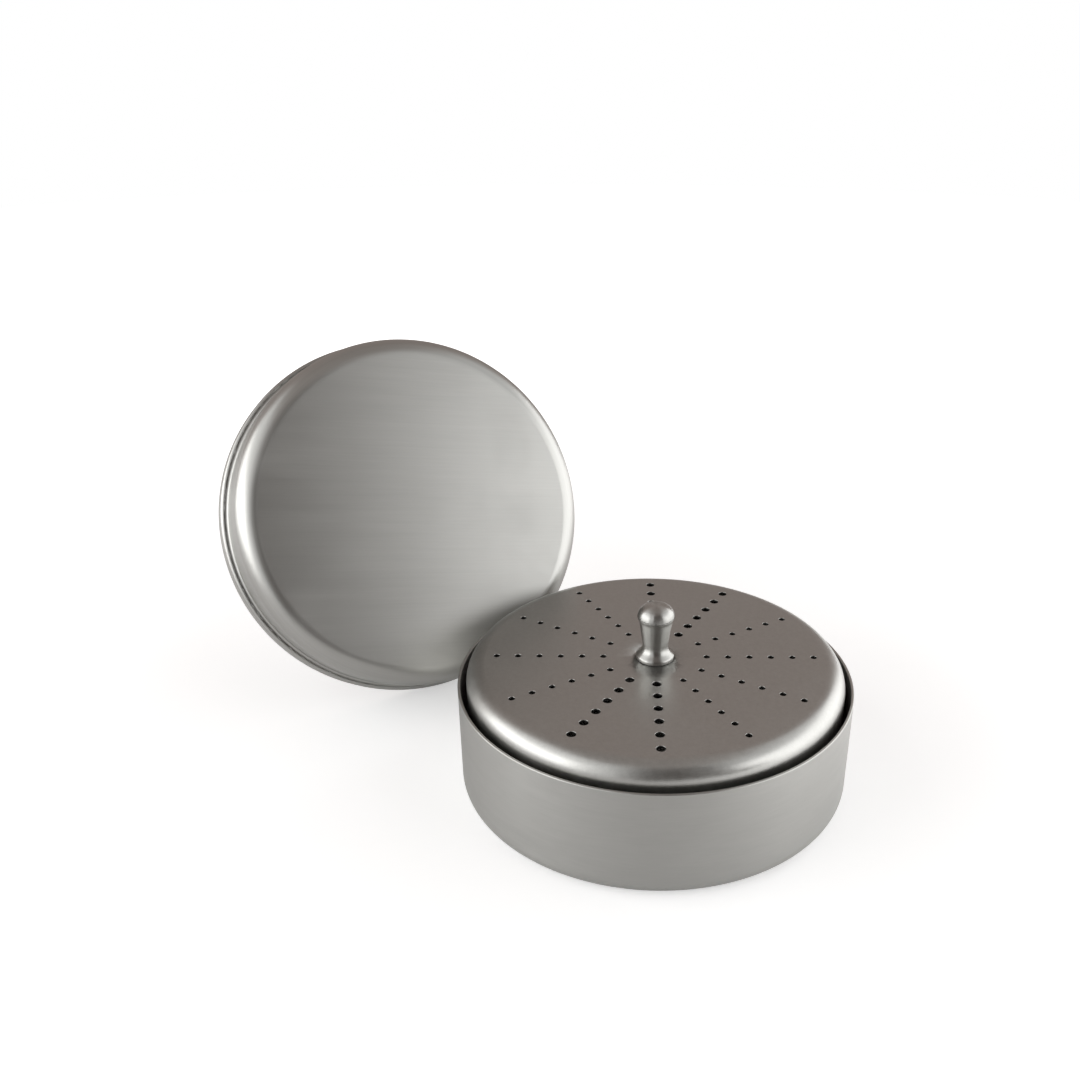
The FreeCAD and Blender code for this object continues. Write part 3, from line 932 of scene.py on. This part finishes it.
@dataclass
class CentreFastening:
    """Stud, spacer, washer and nut that clamp rack and rest plate under the knob."""

    bore: float = 4.4
    thread_bore: float = 4.1
    pitch: float = 0.7
    thread_depth: float = 0.43
    bevel: float = 0.5
    edge: float = 0.12
    edge_wear: float = 0.6
    flats: float = 7.0
    washer_face: float = 0.97
    countersink: float = 0.3
    nut_bevel: float = 30.0
    sharp_from: float = 25.0
    hexagon_side_faces: int = 8
    sides: int = 64
    bright: SteelFinish = SteelFinish(
        "fastener_bright", "fastener_steel", Lay.TURNED, STEEL, 0.24, lines=4000.0
    )
    tube: SteelFinish = SteelFinish(
        "spacer_turned", "inner_steel", Lay.TURNED, STEEL, 0.32, lines=3000.0
    )

    def ring(
        self, node: str, name: str, finish: SteelFinish, dressing: bpy.types.Material
    ) -> None:
        """A plain turned ring with broken edges, in place of a node.

        Args:
            node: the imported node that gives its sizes.
            name: the piece's name.
            finish: the finish it belongs to.
            dressing: that finish as a material.
        """
        radius = node_radius(node)
        low, high = node_heights(node)
        corners = [
            Corner(radius, low, self.edge, self.edge_wear),
            Corner(radius, high, self.edge, self.edge_wear),
            Corner(self.bore / 2, high, self.edge),
            Corner(self.bore / 2, low, self.edge),
        ]
        piece = place_object(turned_mesh(name, rounded_section(corners), self.sides, True))
        piece.data.materials.append(dressing)
        hand_over(piece, "rack", finish.slot, node)
    def build_nut(self, dressing: bpy.types.Material) -> None:
        """The hexagon nut, its corners bevelled and its bore countersunk.

        Args:
            dressing: the bright finish as a material.
        """
        low, high = node_heights("clamp_nut")
        flat, bore, sink = self.flats / 2, self.thread_bore / 2, self.countersink
        face, slope = flat * self.washer_face, math.tan(math.radians(self.nut_bevel))
        count = 6 * self.hexagon_side_faces
        vertices, faces = [], []
        for k in range(count):
            angle = 2 * math.pi * k / count
            side = (angle + math.pi / 6) % (math.pi / 3) - math.pi / 6
            corner = flat / math.cos(side)
            drop = (corner - face) * slope
            section = [
                (bore, low + sink), (bore + sink, low), (face, low), (corner, low + drop),
                (corner, high - drop), (face, high), (bore + sink, high), (bore, high - sink),
            ]
            turn = angle + math.pi / 6
            for out, up in section:
                vertices.append((out * math.cos(turn) * MM, out * math.sin(turn) * MM, up * MM))
        ring = len(vertices) // count
        for k in range(count):
            here, there = k * ring, (k + 1) % count * ring
            for j in range(ring):
                following = (j + 1) % ring
                faces.append((here + j, there + j, there + following, here + following))
        mesh = bpy.data.meshes.new("hexagon_nut")
        mesh.from_pydata(vertices, [], faces)
        set_attribute(mesh, "grain", "FLOAT_VECTOR", vertices)
        mesh.shade_smooth()
        mesh.set_sharp_from_angle(angle=math.radians(self.sharp_from))
        piece = place_object(mesh)
        piece.data.materials.append(dressing)
        hand_over(piece, "rack", self.bright.slot, "clamp_nut")

    def build_stud(self, dressing: bpy.types.Material) -> None:
        """The stud with its rolled thread.

        Args:
            dressing: the bright finish as a material.
        """
        low, high = node_heights("clamp_stud")
        piece = place_object(bpy.data.meshes.new("threaded_stud"))
        values = {
            "Radius": node_radius("clamp_stud") * MM,
            "Pitch": self.pitch * MM,
            "Depth": self.thread_depth * MM,
            "Low": low * MM,
            "High": high * MM,
            "Bevel": self.bevel * MM,
            "Finish": dressing,
        }
        run_tree(piece, make_thread_tree(), values)
        hand_over(piece, "rack", self.bright.slot, "clamp_stud")

    def build(self) -> None:
        """Builds all four pieces."""
        bright, dull = self.bright.material(), self.tube.material()
        self.ring("spacer_tube", "spacer_sleeve", self.tube, dull)
        self.ring("clamp_washer", "flat_washer", self.bright, bright)
        self.build_nut(bright)
        self.build_stud(bright)


@dataclass
class Knob:
    """The turned knob that lifts the rack."""

    foot: float = 10.8
    foot_side: float = 1.0
    foot_bend: float = 0.8
    foot_edge: float = 0.15
    foot_wear: float = 0.5
    neck: float = 6.7
    neck_height: float = 2.9
    neck_bend: float = 2.5
    waist: float = 9.3
    waist_bend: float = 1.2
    head: float = 10.3
    head_flare: float = 1.0
    head_bend: float = 0.8
    crown_height: float = 3.6
    crown: float = 3.3
    bore: float = 4.1
    bore_depth: float = 9.0
    sides: int = 128
    finish: SteelFinish = SteelFinish(
        "knob_turned", "knob_steel", Lay.TURNED, STEEL, 0.32, anisotropy=0.85, lines=5000.0
    )

    def build(self) -> None:
        """Builds and dresses the knob."""
        low, top = node_heights("knob")
        widest = top - self.crown_height
        section = rounded_section(
            [
                Corner(self.bore / 2, low),
                Corner(self.foot / 2, low, self.foot_edge, self.foot_wear),
                Corner(self.foot / 2, low + self.foot_side, self.foot_bend),
                Corner(self.neck / 2, low + self.neck_height, self.neck_bend),
                Corner(self.waist / 2, widest - self.head_flare, self.waist_bend),
                Corner(self.head / 2, widest, self.head_bend),
                Corner(self.head / 2, top, self.crown),
                Corner(0, top),
                Corner(0, low + self.bore_depth),
                Corner(self.bore / 2, low + self.bore_depth),
            ],
        )
        piece = place_object(turned_mesh("turned_knob", section, self.sides, True))
        piece.data.materials.append(self.finish.material())
        hand_over(piece, "rack", self.finish.slot, "knob")


@dataclass
class LeaningLid:
    """The stepped lid, stood on its rim and leaning back."""

    sheet: float = 0.7
    rim_clearance: float = 0.15
    wall_clearance: float = 0.4
    rim_height: float = 6.5
    depth: float = 26.4
    corner: float = 6.0
    step_outer: float = 1.2
    step_share: float = 0.55
    step_fill: float = 0.98
    lean: float = 26.0
    turn: float = 28.2
    bearing: float = 39.0
    tuck: float = 5.3
    brush_turn: float = -11.0
    face_slack: float = 0.001
    edge: float = 0.3
    rim_wear: float = 1.0
    sides: int = 256
    face_finish: SteelFinish = SteelFinish(
        "lid_face_brushed", "lid_steel", Lay.BRUSHED, STEEL, 0.36,
        anisotropy=0.55, spread=0.04, tone=0.045, lines=1900.0, streak=45.0,
    )
    wall_finish: SteelFinish = SteelFinish(
        "lid_wall_satin", "lid_steel", Lay.TURNED, STEEL, 0.34, anisotropy=0.4
    )

    def rim_radius(self) -> float:
        """Outside of the expanded rim."""
        return node_radius("base_cup") + self.rim_clearance + self.sheet

    def placement(self) -> Matrix:
        """Where the lid stands.

        Returns:
            From the lid's own frame, mouth at 0 and face up, to its place.
        """
        lift = self.rim_radius() * math.cos(math.radians(self.lean))
        away = node_radius("base_cup") + self.rim_radius() - self.tuck
        bearing = math.radians(self.bearing)
        place = Vector((-away * math.cos(bearing), away * math.sin(bearing), lift))
        stand = Matrix.Translation(place * MM)
        turned = Matrix.Rotation(math.radians(self.turn), 4, "Z")
        leaned = Matrix.Rotation(math.radians(90 - self.lean), 4, "X")
        return stand @ turned @ leaned

    def brush_face(self, mesh: bpy.types.Mesh, flat: float) -> None:
        """Gives the flat face straight brush lines and a material of its own.

        Args:
            mesh: the lid, still in its own frame.
            flat: radius at which the face starts to bend.
        """
        turn = Matrix.Rotation(math.radians(-self.brush_turn), 3, "Z")
        height, reach = (self.depth - self.face_slack) * MM, (flat + self.face_slack) * MM
        on_face = [vertex.co.z > height and vertex.co.xy.length < reach for vertex in mesh.vertices]
        laid = [turn @ vertex.co for vertex in mesh.vertices]
        grain = mesh.attributes["grain"].data
        for vertex in mesh.vertices:
            if on_face[vertex.index]:
                place = laid[vertex.index]
                grain[vertex.index].vector = (place.x, 0.0, place.y)
        layer = mesh.uv_layers["lay"].data
        for polygon in mesh.polygons:
            if all(on_face[corner] for corner in polygon.vertices):
                polygon.material_index = 1
                for loop, corner in zip(polygon.loop_indices, polygon.vertices):
                    layer[loop].uv = (laid[corner].y, laid[corner].x)

    def build(self) -> None:
        """Builds and dresses the lid."""
        rim = self.rim_radius()
        wall = node_radius("rack_plate") + self.wall_clearance + self.sheet
        sheet, step, depth = self.sheet, self.rim_height, self.depth
        outer_bend = min(self.step_outer, (rim - wall) * self.step_share)
        inner_bend = (rim - wall) * self.step_fill - outer_bend
        section = rounded_section(
            [
                Corner(0, depth - sheet),
                Corner(wall - sheet, depth - sheet, self.corner - sheet),
                Corner(wall - sheet, step - sheet, inner_bend + sheet),
                Corner(rim - sheet, step - sheet, outer_bend - sheet),
                Corner(rim - sheet, 0, self.edge, self.rim_wear),
                Corner(rim, 0, self.edge, self.rim_wear),
                Corner(rim, step, outer_bend),
                Corner(wall, step, inner_bend),
                Corner(wall, depth, self.corner),
                Corner(0, depth),
            ],
        )
        mesh = turned_mesh("stepped_lid", section, self.sides, False)
        mesh.materials.append(self.wall_finish.material())
        mesh.materials.append(self.face_finish.material())
        self.brush_face(mesh, wall - self.corner)
        mesh.transform(self.placement())
        piece = place_object(mesh)
        hand_over(piece, "lid", self.wall_finish.slot, "lid_shell")


# Studio
@dataclass(frozen=True)
class SoftWall:
    """A curved white wall of light: the part of the sky it covers as seen from the object, in
    degrees (azimuth from the camera's side towards the right, elevation), and how bright it is."""

    name: str
    azimuths: tuple[float, float]
    elevations: tuple[float, float]
    brightness: float
    tint: Colour = (1.0, 1.0, 1.0)


@dataclass
class Studio:
    """A pale floor on white, curved walls of soft light on all sides and above, and a dark tent
    behind them."""

    reach: float = 0.95
    centre: Vector = field(default_factory=lambda: Vector((-0.035, 0.025, 0.0)))
    tent_radius: float = 1.3
    tent_sides: int = 48
    tent_colour: Colour = (0.08, 0.068, 0.062)
    floor_radius: float = 1.25
    floor_colour: Colour = (0.8, 0.8, 0.8)
    floor_drop: float = 0.0001
    floor_lift: float = 0.05
    right_lift: float = 1.05
    right_reach: float = 0.35
    seen_lift: float = 0.46
    far_lift: float = 0.6
    # Inside this reach the floor is less lifted: a painted grey pool around the object's shadow.
    grey_pool_reach: tuple[float, float] = (0.12, 0.4)
    wall_step: float = 7.5
    lights: tuple[SoftWall, ...] = (
        SoftWall("right_low_light", (58, 135), (0.5, 12), 2.3),
        SoftWall("right_light", (45, 135), (12, 35), 2.2),
        SoftWall("right_upper_light", (45, 135), (35, 60), 0.8),
        SoftWall("left_light", (-107, -42), (0.5, 35), 3.0),
        SoftWall("left_upper_light", (-107, -45), (35, 60), 1.25),
        SoftWall("left_front_light", (-42, -15), (0.5, 60), 1.0),
        SoftWall("back_light", (135, 253), (3, 60), 0.36, (1.0, 0.86, 0.8)),
        SoftWall("ceiling_light", (-180, 180), (60, 88), 0.34, (1.0, 0.9, 0.85)),
    )

    def seen_ray(self, bench: NodeBench) -> bpy.types.NodeSocket:
        """Tells the rays that show the surroundings: seen, mirrored or seen through.

        Args:
            bench: the world's bench.

        Returns:
            1 for such a ray, 0 for the others.
        """
        path = bench.add("ShaderNodeLightPath").outputs
        mirrored = bench.compute("MAXIMUM", path["Is Glossy Ray"], path["Is Transmission Ray"])
        return bench.compute("MAXIMUM", path["Is Camera Ray"], mirrored)

    def make_world(self) -> None:
        """White where it is seen or mirrored, dark as light."""
        world = bpy.data.worlds.new("white_surroundings")
        bpy.context.scene.world = world
        world.use_nodes = True
        world.node_tree.nodes.clear()
        bench = NodeBench(world.node_tree)
        strength = self.seen_ray(bench)
        white = bench.take("ShaderNodeBackground", {"Color": (1.0,) * 4, "Strength": strength})
        bench.add("ShaderNodeOutputWorld", {"Surface": white})

    def set_stage(self, mesh: bpy.types.Mesh, height: float) -> bpy.types.Object:
        """Puts a piece of the surroundings around the object.

        Args:
            mesh: its mesh, dressed.
            height: its height above the floor in metres.

        Returns:
            The object.
        """
        piece = place_object(mesh)
        piece.location = self.centre + Vector((0.0, 0.0, height))
        return piece

    def glow_material(self, name: str, colour: Colour, brightness: float) -> bpy.types.Material:
        """A surface that only shines.

        Args:
            name: the material's name.
            colour: the colour of its light.
            brightness: its strength, 1 for white.

        Returns:
            The material.
        """
        material, bench = new_material(name)
        glow = bench.take("ShaderNodeEmission", {"Color": (*colour, 1.0), "Strength": brightness})
        bench.add("ShaderNodeOutputMaterial", {"Surface": glow})
        return material

    def make_tent(self) -> None:
        """A dark dome over everything, hidden from the camera."""
        steps = self.tent_sides // 4
        radius = self.tent_radius / MM
        turns = [math.pi / 2 * k / steps for k in range(steps)]
        section = [(radius * math.cos(turn), radius * math.sin(turn), 0.0) for turn in turns]
        section.append((0.0, radius, 0.0))
        mesh = turned_mesh("dark_tent", section, self.tent_sides, False)
        mesh.materials.append(self.glow_material("dark_tent", self.tent_colour, 1.0))
        self.set_stage(mesh, 0.0).visible_camera = False

    def rise(
        self, bench: NodeBench, value: Any, reach: Point, height: float
    ) -> bpy.types.NodeSocket:
        """A smooth rise from 0 to a height while a value goes through a reach.

        Args:
            bench: the material's bench.
            value: the value's socket.
            reach: where the rise begins and ends.
            height: the result beyond it.

        Returns:
            The result's socket.
        """
        ends = {"From Min": reach[0], "From Max": reach[1], "To Min": 0.0, "To Max": height}
        inputs = {"Value": value} | ends
        return bench.take("ShaderNodeMapRange", inputs, interpolation_type="SMOOTHSTEP")

    def floor_material(self) -> bpy.types.Material:
        """Matt and pale: lifted to white for the camera except around the object, where its shadow
        lies and the less lifted floor is a painted grey pool, and brighter to the right in what the
        steel mirrors.

        Returns:
            The material.
        """
        material, bench = new_material("pale_floor")
        matt = bench.take("ShaderNodeBsdfDiffuse", {"Color": (*self.floor_colour, 1.0)})
        place = bench.add("ShaderNodeTexCoord").outputs["Object"]
        away = bench.add("ShaderNodeVectorMath", {0: place}, operation="LENGTH").outputs["Value"]
        aside = bench.add("ShaderNodeSeparateXYZ", {0: place}).outputs["X"]
        path = bench.add("ShaderNodeLightPath").outputs
        # Less lift near the object paints a grey pool around its real shadow.
        outside = self.rise(bench, away, self.grey_pool_reach, self.far_lift)
        to_right = self.rise(bench, aside, (0.0, self.right_reach), self.right_lift)
        seen = bench.compute("ADD", outside, self.seen_lift)
        for_camera = bench.compute("MULTIPLY", path["Is Camera Ray"], seen)
        mirrored = bench.compute("ADD", to_right, self.floor_lift)
        for_mirror = bench.compute("MULTIPLY", path["Is Glossy Ray"], mirrored)
        strength = bench.compute("ADD", for_camera, for_mirror)
        glow = bench.take("ShaderNodeEmission", {"Strength": strength})
        both = bench.take("ShaderNodeAddShader", {0: matt, 1: glow})
        bench.add("ShaderNodeOutputMaterial", {"Surface": both})
        return material

    def make_floor(self) -> None:
        """A pale round table that keeps the object's shadow."""
        section = [(self.floor_radius / MM, 0.0, 0.0), (0.0, 0.0, 0.0)]
        mesh = turned_mesh("pale_floor", section, self.tent_sides, False)
        mesh.materials.append(self.floor_material())
        self.set_stage(mesh, -self.floor_drop)

    def hang_light(self, light: SoftWall) -> None:
        """Builds one wall of light, facing the object.

        Args:
            light: where it stands and how bright it is.
        """
        (left, right), (low, high) = light.azimuths, light.elevations
        columns = max(2, round((right - left) / self.wall_step))
        rows = max(2, round((high - low) / self.wall_step))
        vertices, faces = [], []
        for j in range(rows + 1):
            elevation = math.radians(low + (high - low) * j / rows)
            flat, height = math.cos(elevation) * self.reach, math.sin(elevation) * self.reach
            for i in range(columns + 1):
                azimuth = math.radians(left + (right - left) * i / columns)
                vertices.append((math.sin(azimuth) * flat, -math.cos(azimuth) * flat, height))
        across = columns + 1
        for j in range(rows):
            for i in range(columns):
                corner = j * across + i
                faces.append((corner, corner + across, corner + across + 1, corner + 1))
        mesh = bpy.data.meshes.new(light.name)
        mesh.from_pydata(vertices, [], faces)
        mesh.materials.append(self.glow_material(light.name, light.tint, light.brightness))
        self.set_stage(mesh, 0.0).visible_camera = False

    def build(self) -> None:
        """Builds the surroundings."""
        self.make_world()
        self.make_tent()
        self.make_floor()
        for light in self.lights:
            self.hang_light(light)


@dataclass
class PhotoCamera:
    """The camera as found from the rows of holes: place in millimetres, angles in degrees."""

    lens: float = 37.4
    place: tuple[float, float, float] = (-12.76, -272.14, 198.17)
    down: float = 27.141
    turn: float = 0.685
    shift: Point = (-0.0537, 0.0463)
    clip_start: float = 0.01

    def build(self) -> None:
        """Sets up the camera and the plain view transform."""
        camera = bpy.data.cameras.new("photo_camera")
        camera.lens = self.lens
        camera.shift_x, camera.shift_y = self.shift
        camera.clip_start = self.clip_start
        stand = bpy.data.objects.new("photo_camera", camera)
        bpy.context.scene.collection.objects.link(stand)
        stand.location = Vector(self.place) * MM
        stand.rotation_euler = (math.radians(90 - self.down), 0.0, math.radians(self.turn))
        bpy.context.scene.camera = stand
        bpy.context.scene.view_settings.view_transform = "Standard"


def main() -> None:
    """Builds the surroundings, then the holder."""
    logging.basicConfig(level=logging.INFO, format="%(message)s")
    make_grain_group()
    make_marks_group()
    PhotoCamera().build()
    Studio().build()
    BaseCup().build()
    BurRack().build()
    CentreFastening().build()
    Knob().build()
    LeaningLid().build()


if __name__ == "__main__":
    main()
